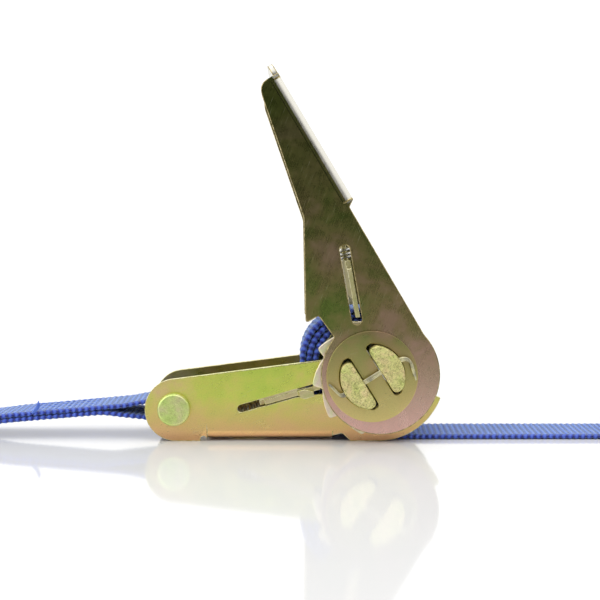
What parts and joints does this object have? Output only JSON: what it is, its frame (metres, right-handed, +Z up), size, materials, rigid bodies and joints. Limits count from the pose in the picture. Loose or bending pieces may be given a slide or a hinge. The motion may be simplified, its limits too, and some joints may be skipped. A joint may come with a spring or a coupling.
{
  "type": "ratchet tie down",
  "caption": "Ratchet buckle of pressed steel with a lever handle, split drum, toothed wheels and flat webbing straps.",
  "frame": {"origin": "the drum's axis midway between the frame's cheeks, where the webbing passes through the slotted drum", "axes": "+X along the load strap away from the buckle, +Y along the drum's axis to the far cheek, +Z up"},
  "size_m": [0.3733, 0.0492, 0.1226],
  "materials": {
    "frame_steel": "yellow zinc plate, semi-gloss",
    "handle_steel": "yellow zinc plate, semi-gloss",
    "washer_steel": "yellow zinc plate, semi-gloss",
    "gear_steel": "yellow zinc plate, stamped",
    "drum_steel": "yellow zinc plate, hammered ends",
    "bolt_steel": "yellow zinc plate, satin",
    "plain_steel": "bright drawn tube",
    "spring_steel": "bright spring wire",
    "webbing": "woven polyester",
    "thread": "polyester sewing thread",
    "tie_rubber": "matte"
  },
  "bodies": {
    "frame": {"frame_channel": "frame_steel", "anchor_bolt": "bolt_steel", "anchor_bolt_sleeve": "plain_steel", "anchor_bolt_washer": "bolt_steel", "frame_pawl_spring": "spring_steel", "load_strap": "webbing", "strap_roll": "webbing", "roll_tie": "tie_rubber", "anchor_strap": "webbing", "anchor_stitching": "thread", "eye_stitching": "thread"},
    "handle": {"handle_channel": "handle_steel", "drive_pawl_spring": "spring_steel"},
    "spool": {"drum_half_upper": "drum_steel", "drum_half_lower": "drum_steel", "near_gear": "gear_steel", "far_gear": "gear_steel", "near_washer": "washer_steel", "far_washer": "washer_steel", "near_split_pin": "drum_steel", "far_split_pin": "drum_steel", "wound_webbing": "webbing"},
    "frame_pawl": {"frame_pawl": "frame_steel"},
    "drive_pawl": {"drive_pawl": "frame_steel"}
  },
  "joints": [
    {"name": "handle_swing", "type": "hinge", "parent": "frame", "child": "handle", "pos_m": [0, 0, 0], "axis": [0, 1, 0], "range_deg": [-55, 112]},
    {"name": "spool_spin", "type": "hinge", "parent": "frame", "child": "spool", "pos_m": [0, 0, 0], "axis": [0, 1, 0], "continuous": true},
    {"name": "frame_pawl_slide", "type": "slide", "parent": "frame", "child": "frame_pawl", "axis": [-0.9622, 0, -0.2723], "range_m": [-0.0008, 0.005], "stiffness_N_per_m": 200, "springref_m": -0.004, "deforming": ["frame_pawl_spring"]},
    {"name": "drive_pawl_slide", "type": "slide", "parent": "handle", "child": "drive_pawl", "axis": [-0.1736, 0, 0.9848], "range_m": [-0.0002, 0.004], "stiffness_N_per_m": 200, "springref_m": -0.004, "deforming": ["drive_pawl_spring"]}
  ]
}
